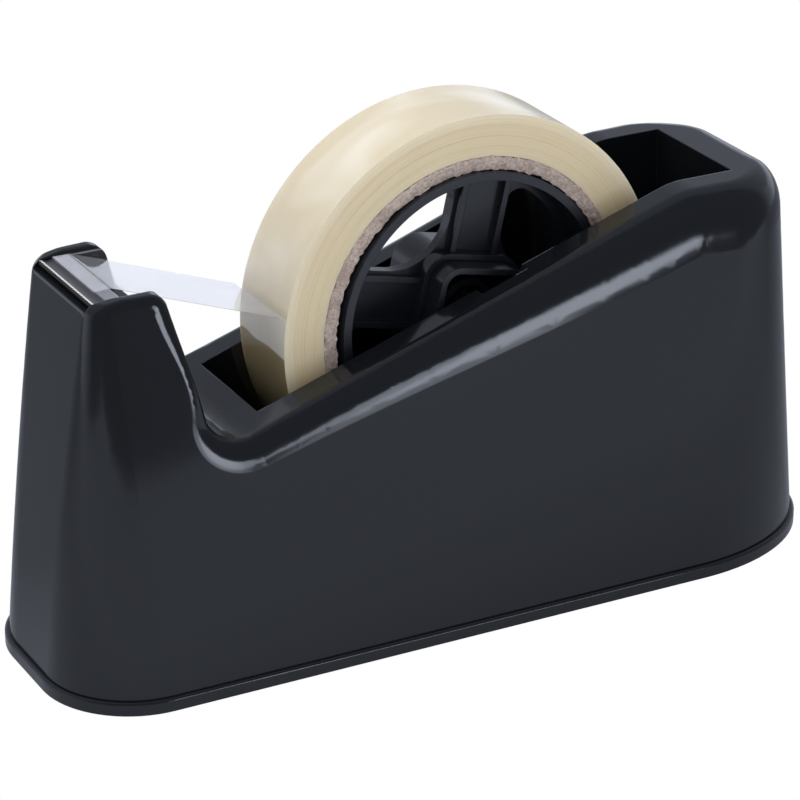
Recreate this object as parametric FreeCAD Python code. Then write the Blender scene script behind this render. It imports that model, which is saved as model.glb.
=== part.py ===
import FreeCAD, Part
import math
import os

V = FreeCAD.Vector

# Bench tape dispenser, millimetres. X runs from the blade (-X) to the rear (+X), Y across,
# Z up. The origin lies on the bench under the middle of the base.

# --- Driving dimensions: foot and outer walls -------------------------------------------
LENGTH = 219.2
FOOT_FRONT_WIDTH = 65.4
FOOT_REAR_WIDTH = 70.4
FLANGE_OVERHANG = 1.15
FLANGE_BOTTOM = 0.1
FLANGE_TOP = 3.6
FRONT_DRAFT = 6.71
REAR_DRAFT = 8.04
SIDE_DRAFT_FRONT = 7.95
SIDE_DRAFT_REAR = 1.84
FRONT_BULGE = 0.57
SIDE_BULGE = 1.2
FOOT_FRONT_CORNER = 23.0
TOP_FRONT_CORNER = 5.2
FOOT_REAR_CORNER_LONG = 44.0
FOOT_REAR_FLAT = 4.4
FOOT_REAR_CORNER_WIDE = (FOOT_REAR_WIDTH - FOOT_REAR_FLAT) / 2
TOP_REAR_CORNER = 21.4
CORNER_REFERENCE_HEIGHT = 97.0

# --- Driving dimensions: top profile ----------------------------------------------------
RIM_HEIGHT = 103.9
RIM_SLOPE = 18.6
RIM_BEND_X = 0.2824 * LENGTH
RIM_BEND_RADIUS = 20.0
EAR_HEIGHT = 102.1
EAR_BEND_X = -0.406 * LENGTH
EAR_FRONT_FALL = 9.0
EAR_BEND_RADIUS = 8.0
TOWER_BACK_X = -0.3586 * LENGTH
TOWER_BACK_LEAN = 13.9
VALLEY_RADIUS = 9.5
EAR_REAR_RADIUS = 4.6
SHOULDER_RATIO = 2.0
EAR_ROUND = 3.7
VALLEY_ROUND = 9.5
MID_RIM_ROUND = 15.3
REAR_SIDE_ROUND = 16.5
REAR_ROUND = 7.0
VALLEY_ROUND_X = -0.283 * LENGTH
MID_RIM_X = 0.0684 * LENGTH
REAR_CORNER_START_X = 0.342 * LENGTH
REAR_CORNER_END_X = 0.429 * LENGTH
WALL = 2.6

# --- Driving dimensions: roll well, ears and blade seat ---------------------------------
WELL_FRONT_X = -0.2438 * LENGTH
WELL_REAR_X = 0.3647 * LENGTH
WELL_FRONT_HALF = 16.4
WELL_REAR_HALF = 17.4
WELL_FLOOR_Z = 15.0
WELL_BOTTOM_RADIUS = 46.0
WELL_WALL_DRAFT = 0.5
EAR_GAP = 31.3
EAR_INNER_ROUND = 1.5
FINGER_FLOOR_Z = 91.0
FINGER_RADIUS = 3.0

# --- Driving dimensions: roll, core wheel and axle --------------------------------------
AXLE_X = 0.037 * LENGTH
AXLE_Z = 77.4
AXLE_DIAMETER = 7.0
AXLE_END_PLAY = 0.3
SLOT_DEPTH = 3.0
SLOT_CLEARANCE = 0.1
SLOT_FRONT_LEAN = 15.5
SLOT_REAR_LEAN = 30.0
BEARING_BLOCK = 9.5
BORE_CLEARANCE = 0.06

WHEEL_RADIUS = 36.9
WHEEL_RIM = 2.2
WHEEL_NEAR_Y = -14.0
WHEEL_FAR_Y = 10.6
WHEEL_TURN = -12.5
WEB_MIDDLE_Y = -3.5
WEB_THICKNESS = 3.0
RIB_DEPTH = 7.0
RIB_OFFSET = 5.95
RIB_THICKNESS = 1.6
SPOKE_HALF = 7.5
LEDGE_RING = 2.0
WINDOW_CORNER = 4.0
SLEEVE_WALL = 1.5
SLEEVE_NEAR_Y = -9.0
SLEEVE_FAR_Y = 8.0

CORE_PLAY = 1.2
CORE_REST_GAP = 0.1
CORE_INNER_RADIUS = WHEEL_RADIUS + CORE_PLAY
CORE_WALL = 3.35
CORE_WIDTH = 25.0
ROLL_RADIUS = 52.3
TAPE_WIDTH = 24.6
WINDING_GAP = 0.05

HUB_HALF = 12.2
HUB_CORNER = 5.2
HUB_WALL = 1.6
HUB_NEAR_Y = -15.0
HUB_FAR_Y = 9.8
HUB_FIT = 0.1
TUBE_RADIUS = 7.6
TUBE_BORE = 6.0
TUBE_NEAR_Y = -9.0
TUBE_FAR_Y = 9.0
LAND_HALF = 4.0
HUB_WEB = 2.0

# --- Driving dimensions: blade and free tape --------------------------------------------
BLADE_SHEET = 0.8
BLADE_TOP_Z = 101.2
BLADE_REAR_X = -0.3994 * LENGTH
BLADE_PLATE_DEPTH = 3.75
BLADE_VALLEY_OFFSET = 6.05
BLADE_VALLEY_DEPTH = 1.2
BLADE_TIP_OFFSET = 7.9
BLADE_TIP_DROP = 0.1
BLADE_EDGE = 0.3
BLADE_FLANGE = 5.0
BLADE_SIDE_GAP = 0.05
FOLD_ANGLE = 45.0
TOOTH_COUNT = 20
TOOTH_DEPTH = 1.1
STRIP_WIDTH = 24.8
STRIP_THICKNESS = 0.2
STRIP_ON_BLADE = 4.55
STRIP_DRIFT = 2.9
STRIP_ROLL_GAP = 0.35
STRIP_MEET_ANGLE = 170.6

# --- Driving dimensions: base, weights, screws and pad ----------------------------------
LIP_HEIGHT = 3.0
LIP_WALL = 2.0
LIP_CLEARANCE = 0.25
PAD_INSET = 5.0
PAD_RECESS = 0.9
FLANGE_ROUND = 0.8
SCREW_FRONT_X = -0.1095 * LENGTH
SCREW_REAR_X = 0.21 * LENGTH
SCREW_HALF_SPACING = 10.0
SCREW_SHANK = 3.0
SCREW_HEAD = 6.4
SCREW_HEAD_HEIGHT = 2.0
SCREW_HEAD_CHAMFER = 0.6
SCREW_LENGTH = 8.0
SCREW_CLEARANCE = 0.2
BOSS_RADIUS = 4.2
PEDESTAL_RADIUS = 6.0
PEDESTAL_HEIGHT = 2.4
WEIGHT_CLEARANCE = 0.4
FRONT_WEIGHT_TOP = 46.0
REAR_WEIGHT_TOP = 58.0
REAR_WEIGHT_LAP = 10.0
WEIGHT_TUB_GAP = 1.0

# small gap between faces that meet, and the reach of a cutting shape past what it cuts
FACE_GAP = 0.05
REACH = 20.0

# --- Heights that follow from the values above ------------------------------------------
PEDESTAL_TOP = FLANGE_TOP + PEDESTAL_HEIGHT
SCREW_HEAD_Z = FLANGE_BOTTOM + PAD_RECESS
BOSS_BOTTOM = PEDESTAL_TOP + FACE_GAP
LIP_INSET = WALL + LIP_CLEARANCE + LIP_HEIGHT * math.tan(math.radians(REAR_DRAFT))
# the loose core hangs on the wheel, so its middle sits below the axle by their play
ROLL_Z = AXLE_Z - CORE_PLAY + CORE_REST_GAP

# share of a corner's reach at which a cubic curve's handles make a quarter circle
KAPPA = 0.5523


def unit(vector):
    return FreeCAD.Vector(vector).normalize()


def corner_curve(start, corner, end):
    """Quarter-round curve, tangent to start-corner and corner-end."""
    curve = Part.BezierCurve()
    curve.setPoles([start, start + (corner - start) * KAPPA, end + (corner - end) * KAPPA, end])
    return curve.toShape()


def side_curve(start, middle, end):
    curve = Part.BezierCurve()
    curve.setPoles([start, middle, end])
    return curve.toShape()


def wall_outline(z, inset, stretch=1.0):
    """Plan outline of the outer wall at height z, moved inward by inset, y times stretch."""
    rise = z - FLANGE_TOP
    share = rise / (CORNER_REFERENCE_HEIGHT - FLANGE_TOP)
    bulge = 4 * share * (1 - share)
    front = -(LENGTH / 2 - FLANGE_OVERHANG - rise * math.tan(math.radians(FRONT_DRAFT)) - inset)
    front -= FRONT_BULGE * bulge
    rear = LENGTH / 2 - FLANGE_OVERHANG - rise * math.tan(math.radians(REAR_DRAFT)) - inset
    front_half = FOOT_FRONT_WIDTH / 2 - rise * math.tan(math.radians(SIDE_DRAFT_FRONT)) - inset
    rear_half = FOOT_REAR_WIDTH / 2 - rise * math.tan(math.radians(SIDE_DRAFT_REAR)) - inset
    smallest = 0.5
    front_corner = max(FOOT_FRONT_CORNER + share * (TOP_FRONT_CORNER - FOOT_FRONT_CORNER) - inset,
                       smallest)
    rear_long = FOOT_REAR_CORNER_LONG + share * (TOP_REAR_CORNER - FOOT_REAR_CORNER_LONG) - inset
    rear_wide = FOOT_REAR_CORNER_WIDE + share * (TOP_REAR_CORNER - FOOT_REAR_CORNER_WIDE) - inset
    edges = []
    sides = {}
    for side in (1, -1):
        front_point = V(front, side * front_half, z)
        rear_point = V(rear, side * rear_half, z)
        middle = (front_point + rear_point) * 0.5 + V(0, side * 2 * SIDE_BULGE * share, 0)
        sides[side] = {
            "front_end": V(front, side * (front_half - front_corner), z),
            "front_corner": front_point,
            "side_start": front_point + unit(middle - front_point) * front_corner,
            "middle": middle,
            "side_end": rear_point + unit(middle - rear_point) * rear_long,
            "rear_corner": rear_point,
            "rear_end": V(rear, side * (rear_half - rear_wide), z),
        }
    left, right = sides[1], sides[-1]
    edges.append(Part.makeLine(right["front_end"], left["front_end"]))
    edges.append(corner_curve(left["front_end"], left["front_corner"], left["side_start"]))
    edges.append(side_curve(left["side_start"], left["middle"], left["side_end"]))
    edges.append(corner_curve(left["side_end"], left["rear_corner"], left["rear_end"]))
    edges.append(Part.makeLine(left["rear_end"], right["rear_end"]))
    edges.append(corner_curve(right["rear_end"], right["rear_corner"], right["side_end"]))
    edges.append(side_curve(right["side_end"], right["middle"], right["side_start"]))
    edges.append(corner_curve(right["side_start"], right["front_corner"], right["front_end"]))
    wire = Part.Wire(edges)
    if stretch == 1.0:
        return wire
    widen = FreeCAD.Matrix()
    widen.scale(1, stretch, 1)
    return Part.Wire(wire.transformGeometry(widen).Edges)


def drafted_body(inset, bottom, top, stretch=1.0):
    levels = 5
    wires = [wall_outline(bottom + (top - bottom) * i / (levels - 1), inset, stretch)
             for i in range(levels)]
    return Part.makeLoft(wires, True, False)


def polygon_with_rounds(points, radii):
    """Closed XZ wire through points, each corner rounded by its radius (0 keeps it sharp)."""
    count = len(points)
    cut_in = []
    for i in range(count):
        before, here, after = points[i - 1], points[i], points[(i + 1) % count]
        to_before, to_after = unit(before - here), unit(after - here)
        half_angle = to_before.getAngle(to_after) / 2
        if radii[i] == 0:
            cut_in.append((here, here, here))
            continue
        reach = radii[i] / math.tan(half_angle)
        bisector = unit(to_before + to_after)
        depth = radii[i] / math.sin(half_angle) - radii[i]
        cut_in.append((here + to_before * reach, here + bisector * depth, here + to_after * reach))
    edges = []
    for i in range(count):
        start, middle, end = cut_in[i]
        if radii[i]:
            edges.append(Part.Arc(start, middle, end).toShape())
        following = cut_in[(i + 1) % count][0]
        if (following - end).Length > 1e-6:
            edges.append(Part.makeLine(end, following))
    return Part.Wire(edges)


def side_extrusion(points, radii, half_width):
    wire = polygon_with_rounds(points, radii)
    face = Part.Face(wire)
    face.translate(V(0, -half_width, 0))
    return face.extrude(V(0, 2 * half_width, 0))


def top_profile(drop):
    """Everything under the top surface in side view, lowered by drop."""
    far = LENGTH
    slope = math.tan(math.radians(RIM_SLOPE))
    lean = math.tan(math.radians(TOWER_BACK_LEAN))
    fall = math.tan(math.radians(EAR_FRONT_FALL))
    ear = V(TOWER_BACK_X - drop, 0, EAR_HEIGHT - drop)
    ear_bend = V(EAR_BEND_X, 0, ear.z)
    bend = V(RIM_BEND_X, 0, RIM_HEIGHT - drop)
    # where the back of the tower meets the sloping rim
    valley_x = (ear.z + ear.x / lean - bend.z + slope * bend.x) / (slope + 1 / lean)
    valley = V(valley_x, 0, bend.z + slope * (valley_x - bend.x))
    points = [
        V(-far, 0, -far), V(-far, 0, ear.z - fall * (far + EAR_BEND_X)), ear_bend,
        ear, valley, bend, V(far, 0, bend.z), V(far, 0, -far),
    ]
    radii = [0, 0, EAR_BEND_RADIUS, EAR_REAR_RADIUS, VALLEY_RADIUS + drop, RIM_BEND_RADIUS, 0, 0]
    return side_extrusion(points, radii, far)


def rim_radius(point, drop):
    """Outer rounding radius of the top edge at a point along the dispenser."""
    stations = [
        (-LENGTH / 2, EAR_ROUND), (TOWER_BACK_X, EAR_ROUND), (VALLEY_ROUND_X, VALLEY_ROUND),
        (MID_RIM_X, MID_RIM_ROUND), (RIM_BEND_X, REAR_SIDE_ROUND),
        (REAR_CORNER_START_X, REAR_SIDE_ROUND), (REAR_CORNER_END_X, REAR_ROUND),
        (LENGTH, REAR_ROUND),
    ]
    for (x0, r0), (x1, r1) in zip(stations, stations[1:]):
        if point.x <= x1:
            return r0 + (r1 - r0) * max(point.x - x0, 0) / (x1 - x0) - drop


def top_edges(solid, bottom):
    """Numbered edges where the top surface meets the outer walls."""
    found = []
    for index, edge in enumerate(solid.Edges, 1):
        if edge.BoundBox.ZMin < bottom + REACH:
            continue
        point = edge.valueAt((edge.FirstParameter + edge.LastParameter) / 2)
        tops = 0
        for face in solid.ancestorsOfType(edge, Part.Face):
            level_across = abs(face.normalAt(*face.Surface.parameter(point)).y) < 1e-6
            if level_across and face.BoundBox.ZMin > bottom + REACH:
                tops += 1
        if tops == 1:
            found.append((index, edge))
    return found


def rounded_body(inset, bottom):
    """Drafted body under the top surface, its upper outer edge rounded along the way."""
    body = drafted_body(inset, bottom, RIM_HEIGHT + WALL, SHOULDER_RATIO)
    body = body.common(top_profile(inset)).Solids[0]
    document = FreeCAD.newDocument("rounds")
    base = document.addObject("Part::Feature", "base")
    base.Shape = body
    rounds = document.addObject("Part::Fillet", "rounds")
    rounds.Base = base
    rounds.Edges = [(index,
                     rim_radius(edge.valueAt(edge.FirstParameter), inset),
                     rim_radius(edge.valueAt(edge.LastParameter), inset))
                    for index, edge in top_edges(body, bottom)]
    document.recompute()
    shape = rounds.Shape.copy()
    FreeCAD.closeDocument(document.Name)
    narrow = FreeCAD.Matrix()
    narrow.scale(1, 1 / SHOULDER_RATIO, 1)
    return shape.transformGeometry(narrow).Solids[0]


def block(x0, x1, half_y, z0, z1):
    return Part.makeBox(x1 - x0, 2 * half_y, z1 - z0, V(x0, -half_y, z0))


def cylinder_y(radius, y0, y1, x=AXLE_X, z=AXLE_Z):
    return Part.makeCylinder(radius, y1 - y0, V(x, y0, z), V(0, 1, 0))


def ring_y(outer, inner, y0, y1, x=AXLE_X, z=AXLE_Z):
    return cylinder_y(outer, y0, y1, x, z).cut(cylinder_y(inner, y0 - 1, y1 + 1, x, z))


def well(grow):
    """Tub that the roll hangs in: rounded in side view, drafted and wider to the rear in plan."""
    top = RIM_HEIGHT + REACH
    side_view = side_extrusion(
        [V(WELL_FRONT_X - grow, 0, WELL_FLOOR_Z - grow), V(WELL_REAR_X + grow, 0, WELL_FLOOR_Z - grow),
         V(WELL_REAR_X + grow, 0, top), V(WELL_FRONT_X - grow, 0, top)],
        [WELL_BOTTOM_RADIUS + grow, WELL_BOTTOM_RADIUS + grow, 0, 0], WELL_REAR_HALF * 2)
    draft = math.tan(math.radians(WELL_WALL_DRAFT))
    wires = []
    for z in (WELL_FLOOR_Z - grow - 1, top):
        narrow = (RIM_HEIGHT - z) * draft - grow
        front, rear = WELL_FRONT_HALF - narrow, WELL_REAR_HALF - narrow
        wires.append(Part.makePolygon([
            V(WELL_FRONT_X - grow - 1, -front, z), V(WELL_REAR_X + grow + 1, -rear, z),
            V(WELL_REAR_X + grow + 1, rear, z), V(WELL_FRONT_X - grow - 1, front, z),
            V(WELL_FRONT_X - grow - 1, -front, z)]))
    return side_view.common(Part.makeLoft(wires, True, True))


def wall_half(x):
    """Half-width of the well at the axle's height."""
    share = (x - WELL_FRONT_X) / (WELL_REAR_X - WELL_FRONT_X)
    draft = math.tan(math.radians(WELL_WALL_DRAFT))
    return WELL_FRONT_HALF + share * (WELL_REAR_HALF - WELL_FRONT_HALF) - (RIM_HEIGHT - AXLE_Z) * draft


def axle_slot(grow):
    """Open-topped slot with a round seat and a mouth that flares to the rear."""
    radius = AXLE_DIAMETER / 2 + SLOT_CLEARANCE + grow
    rise = RIM_HEIGHT + REACH - AXLE_Z
    lean_front = math.tan(math.radians(SLOT_FRONT_LEAN))
    lean_rear = math.tan(math.radians(SLOT_REAR_LEAN))
    half = wall_half(AXLE_X) + SLOT_DEPTH + grow
    seat = cylinder_y(radius, -half, half)
    # each flank is tangent to the round seat
    front_foot = V(-radius * math.cos(math.radians(SLOT_FRONT_LEAN)), 0,
                   radius * math.sin(math.radians(SLOT_FRONT_LEAN)))
    rear_foot = V(radius * math.cos(math.radians(SLOT_REAR_LEAN)), 0,
                  -radius * math.sin(math.radians(SLOT_REAR_LEAN)))
    centre = V(AXLE_X, 0, AXLE_Z)
    corners = [centre + front_foot, centre, centre + rear_foot,
               centre + rear_foot + V(rise * lean_rear, 0, rise),
               centre + front_foot + V(rise * lean_front, 0, rise)]
    mouth = side_extrusion(corners, [0] * len(corners), half)
    return seat.fuse(mouth).removeSplitter()


def blade_section():
    """Closed XZ section of the blade sheet: flange, plate, valley and raised front edge."""
    plate, sheet = BLADE_TOP_Z, BLADE_SHEET
    low = plate - BLADE_VALLEY_DEPTH
    fold = sheet * math.tan(math.radians(FOLD_ANGLE / 2))
    front_x = BLADE_REAR_X - BLADE_PLATE_DEPTH
    valley_x = BLADE_REAR_X - BLADE_VALLEY_OFFSET
    tip_x = BLADE_REAR_X - BLADE_TIP_OFFSET
    tip_z = plate - BLADE_TIP_DROP
    outside = [V(BLADE_REAR_X, 0, plate - BLADE_FLANGE), V(BLADE_REAR_X, 0, plate),
               V(front_x, 0, plate), V(front_x - BLADE_VALLEY_DEPTH, 0, low),
               V(valley_x - BLADE_EDGE, 0, low), V(tip_x, 0, tip_z)]
    inside = [V(tip_x - BLADE_EDGE, 0, tip_z - BLADE_EDGE),
              V(valley_x - BLADE_EDGE - fold, 0, low - sheet),
              V(front_x - BLADE_VALLEY_DEPTH + fold, 0, low - sheet), V(front_x + fold, 0, plate - sheet),
              V(BLADE_REAR_X - sheet, 0, plate - sheet), V(BLADE_REAR_X - sheet, 0, plate - BLADE_FLANGE)]
    inner_bend = sheet / 2
    outer_bend = inner_bend + sheet
    edge_round = BLADE_EDGE / 3
    radii = [0, outer_bend, inner_bend, outer_bend, outer_bend, edge_round,
             edge_round, outer_bend, outer_bend, inner_bend, edge_round, 0]
    return outside + inside, radii


def cutter_blade():
    points, radii = blade_section()
    half = EAR_GAP / 2 - BLADE_SIDE_GAP
    blade = side_extrusion(points, radii, half)
    pitch = 2 * half / TOOTH_COUNT
    high = BLADE_TOP_Z + FACE_GAP
    low = BLADE_TOP_Z - TOOTH_DEPTH
    cut_from = BLADE_REAR_X - BLADE_VALLEY_OFFSET
    cut_to = BLADE_REAR_X - BLADE_TIP_OFFSET - REACH
    notches = []
    for i in range(TOOTH_COUNT + 1):
        y = -half + i * pitch
        corners = [V(cut_from, y - pitch / 2, high), V(cut_from, y, low),
                   V(cut_from, y + pitch / 2, high)]
        triangle = Part.makePolygon(corners + corners[:1])
        notches.append(Part.Face(triangle).extrude(V(cut_to - cut_from, 0, 0)))
    return blade.cut(Part.makeCompound(notches))


def blade_seat():
    """Space taken from the tower's top between the ears, down to the blade's underside."""
    top = EAR_HEIGHT + REACH
    seat_z = BLADE_TOP_Z - BLADE_SHEET - FACE_GAP
    step_z = seat_z - BLADE_VALLEY_DEPTH
    step_x = BLADE_REAR_X - BLADE_PLATE_DEPTH + BLADE_SHEET * math.tan(math.radians(FOLD_ANGLE / 2))
    rear_x = BLADE_REAR_X - BLADE_SHEET - FACE_GAP
    points = [V(-LENGTH, 0, step_z), V(step_x - BLADE_VALLEY_DEPTH, 0, step_z), V(step_x, 0, seat_z),
              V(rear_x, 0, seat_z), V(rear_x, 0, FINGER_FLOOR_Z),
              V(TOWER_BACK_X + REACH / 2, 0, FINGER_FLOOR_Z), V(TOWER_BACK_X + REACH / 2, 0, top),
              V(-LENGTH, 0, top)]
    radii = [0, 0, 0, FACE_GAP, FINGER_RADIUS, 0, 0, 0]
    return side_extrusion(points, radii, EAR_GAP / 2)


def ear_rounding():
    """Space above the ears' inner top edges, with a concave quarter round on each side."""
    inner, radius = EAR_GAP / 2, EAR_INNER_ROUND
    foot, crown = EAR_HEIGHT - radius, EAR_HEIGHT
    turn = radius * math.cos(math.radians(45))
    edges = []
    for side in (1, -1):
        low = V(-LENGTH, side * inner, foot)
        middle = V(-LENGTH, side * (inner + radius - turn), foot + turn)
        high = V(-LENGTH, side * (inner + radius), crown)
        edges.append((low, middle, high))
    (low_a, middle_a, high_a), (low_b, middle_b, high_b) = edges
    wire = Part.Wire([Part.Arc(low_a, middle_a, high_a).toShape(), Part.makeLine(high_a, high_b),
                      Part.Arc(high_b, middle_b, low_b).toShape(), Part.makeLine(low_b, low_a)])
    return Part.Face(wire).extrude(V(LENGTH + TOWER_BACK_X + REACH / 2, 0, 0))


def tower_limit():
    """Solid zone kept above the hollow under the ears and the finger gap."""
    ceiling = FINGER_FLOOR_Z - WALL
    return block(-LENGTH, TOWER_BACK_X + 2 * WALL, LENGTH, ceiling, RIM_HEIGHT + REACH)


def bearing_blocks():
    """Thicker wall round both axle slots."""
    outer = wall_half(AXLE_X) + SLOT_DEPTH + WALL
    zone = block(AXLE_X - BEARING_BLOCK, AXLE_X + 2 * BEARING_BLOCK, outer,
                 AXLE_Z - BEARING_BLOCK, RIM_HEIGHT + REACH)
    return zone


def screw_places():
    return [V(x, y, 0) for x in (SCREW_FRONT_X, SCREW_REAR_X)
            for y in (-SCREW_HALF_SPACING, SCREW_HALF_SPACING)]


def screw_bosses():
    bosses = []
    for place in screw_places():
        height = WELL_FLOOR_Z + REACH - BOSS_BOTTOM
        boss = Part.makeCylinder(BOSS_RADIUS, height, place + V(0, 0, BOSS_BOTTOM))
        bosses.append(boss)
    return Part.makeCompound(bosses)


def pilot_holes():
    depth = SCREW_LENGTH + SCREW_HEAD_HEIGHT + SCREW_CLEARANCE
    return Part.makeCompound([
        Part.makeCylinder(SCREW_SHANK / 2 + FACE_GAP, depth, place + V(0, 0, SCREW_HEAD_Z))
        for place in screw_places()])


def housing():
    outer = rounded_body(0, FLANGE_TOP)
    hollow = rounded_body(WALL, FLANGE_TOP - 1)
    hollow = hollow.cut(well(WALL)).cut(tower_limit()).cut(bearing_blocks())
    hollow = hollow.cut(screw_bosses())
    shell = outer.cut(hollow)
    shell = shell.cut(well(0))
    shell = shell.cut(blade_seat())
    shell = shell.cut(ear_rounding())
    shell = shell.cut(axle_slot(0))
    shell = shell.cut(pilot_holes())
    return shell


def foot_solid(inset, bottom, top):
    """Upright prism on the foot's outline."""
    wire = wall_outline(FLANGE_TOP, inset)
    wire.translate(V(0, 0, bottom - FLANGE_TOP))
    return Part.Face(wire).extrude(V(0, 0, top - bottom))


def base_plate():
    plate = foot_solid(-FLANGE_OVERHANG, FLANGE_BOTTOM, FLANGE_TOP)
    upper_rim = [e for e in plate.Edges if e.BoundBox.ZMin > FLANGE_TOP - FACE_GAP]
    plate = plate.makeFillet(FLANGE_ROUND, upper_rim)
    lip = foot_solid(LIP_INSET, FLANGE_TOP - 0.5, FLANGE_TOP + LIP_HEIGHT)
    lip = lip.cut(foot_solid(LIP_INSET + LIP_WALL, FLANGE_TOP - 1, FLANGE_TOP + LIP_HEIGHT + 1))
    plate = plate.fuse(lip)
    pad_inset = PAD_INSET - FLANGE_OVERHANG
    plate = plate.cut(foot_solid(pad_inset, FLANGE_BOTTOM - 1, FLANGE_BOTTOM + PAD_RECESS))
    for place in screw_places():
        plate = plate.fuse(Part.makeCylinder(PEDESTAL_RADIUS, PEDESTAL_TOP - FLANGE_TOP + 1,
                                             place + V(0, 0, FLANGE_TOP - 1)))
    for place in screw_places():
        head = Part.makeCylinder(SCREW_HEAD / 2 + SCREW_CLEARANCE, SCREW_HEAD_HEIGHT + FACE_GAP,
                                 place + V(0, 0, SCREW_HEAD_Z))
        shank = Part.makeCylinder(SCREW_SHANK / 2 + SCREW_CLEARANCE, PEDESTAL_HEIGHT + 5,
                                  place + V(0, 0, SCREW_HEAD_Z))
        plate = plate.cut(head).cut(shank)
    return plate


def non_slip_pad():
    return foot_solid(PAD_INSET - FLANGE_OVERHANG + LIP_CLEARANCE, 0, FLANGE_BOTTOM + PAD_RECESS)


def base_screws():
    screws = []
    for place in screw_places():
        head = Part.makeCylinder(SCREW_HEAD / 2, SCREW_HEAD_HEIGHT, place + V(0, 0, SCREW_HEAD_Z))
        low_rim = [e for e in head.Edges
                   if abs(e.BoundBox.ZMax - SCREW_HEAD_Z) < 1e-6 and e.BoundBox.XLength > 1]
        head = head.makeChamfer(SCREW_HEAD_CHAMFER, low_rim)
        foot = place + V(0, 0, SCREW_HEAD_Z + SCREW_HEAD_HEIGHT)
        shank = Part.makeCylinder(SCREW_SHANK / 2, SCREW_LENGTH, foot)
        screws.append(head.fuse(shank).removeSplitter())
    return Part.makeCompound(screws)


def weight(x0, x1, top):
    """Cast block inside the housing between x0 and x1, as wide as the housing is at its top."""
    bottom = FLANGE_TOP + FACE_GAP
    wire = wall_outline(top, LIP_INSET + LIP_WALL + WEIGHT_CLEARANCE)
    core = Part.Face(wire).extrude(V(0, 0, bottom - top))
    zone = block(x0, x1, LENGTH, bottom, top)
    return core.common(zone).cut(well(WALL + WEIGHT_TUB_GAP))


def axle():
    half = wall_half(AXLE_X) + SLOT_DEPTH - AXLE_END_PLAY
    rod = cylinder_y(AXLE_DIAMETER / 2, -half, half)
    return rod.makeChamfer(0.5, [e for e in rod.Edges if e.Curve.TypeId == "Part::GeomCircle"])


def rounded_square(half, corner, y0, y1):
    solid = Part.makeBox(2 * half, y1 - y0, 2 * half, V(-half, y0, -half))
    solid = solid.makeFillet(corner, [e for e in solid.Edges if abs(e.BoundBox.YLength - (y1 - y0)) < 1e-6
                                      and e.BoundBox.XLength < 1e-6])
    return solid


def place_on_axle(shape):
    """Turn a piece modelled about the origin's Y axis to its rest angle on the axle."""
    shape.rotate(V(0, 0, 0), V(0, 1, 0), -WHEEL_TURN)
    shape.translate(V(AXLE_X, 0, AXLE_Z))
    return shape


def spindle_hub():
    shell = rounded_square(HUB_HALF, HUB_CORNER, HUB_NEAR_Y, HUB_FAR_Y)
    inside = rounded_square(HUB_HALF - HUB_WALL, HUB_CORNER - HUB_WALL, HUB_NEAR_Y - 1, HUB_FAR_Y + 1)
    shell = shell.cut(inside)
    web = rounded_square(HUB_HALF - HUB_WALL / 2, HUB_CORNER - HUB_WALL / 2, -HUB_WEB / 2, HUB_WEB / 2)
    tube = cylinder_y(TUBE_RADIUS, TUBE_NEAR_Y, TUBE_FAR_Y, 0, 0)
    hub = shell.fuse(web).fuse(tube)
    hub = hub.cut(cylinder_y(TUBE_BORE, TUBE_NEAR_Y - 1, -LAND_HALF, 0, 0))
    hub = hub.cut(cylinder_y(TUBE_BORE, LAND_HALF, TUBE_FAR_Y + 1, 0, 0))
    hub = hub.cut(cylinder_y(AXLE_DIAMETER / 2 + BORE_CLEARANCE, -LAND_HALF - 1, LAND_HALF + 1, 0, 0))
    return place_on_axle(hub.removeSplitter())


def window(y0, y1):
    """One of the four openings between the spokes, about the wheel's own axis."""
    ring_inner = WHEEL_RADIUS - WHEEL_RIM - LEDGE_RING
    sleeve_half = HUB_HALF + HUB_FIT + SLEEVE_WALL
    sleeve_corner = HUB_CORNER + HUB_FIT + SLEEVE_WALL
    nearest = (sleeve_half - sleeve_corner) * math.sqrt(2) + sleeve_corner
    inner_round = (nearest - SPOKE_HALF * math.sqrt(2)) / (math.sqrt(2) - 1)
    square = Part.makeBox(WHEEL_RADIUS, y1 - y0, WHEEL_RADIUS, V(SPOKE_HALF, y0, SPOKE_HALF))
    corner = [e for e in square.Edges
              if e.BoundBox.XMax < SPOKE_HALF + 1e-6 and e.BoundBox.ZMax < SPOKE_HALF + 1e-6]
    square = square.makeFillet(inner_round, corner)
    opening = square.common(cylinder_y(ring_inner, y0, y1, 0, 0))
    tips = []
    for edge in opening.Edges:
        middle = edge.valueAt((edge.FirstParameter + edge.LastParameter) / 2)
        across = abs(edge.BoundBox.YLength - (y1 - y0)) < 1e-6
        if across and math.hypot(middle.x, middle.z) > ring_inner - 0.01:
            tips.append(edge)
    return opening.makeFillet(WINDOW_CORNER, tips)


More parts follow.
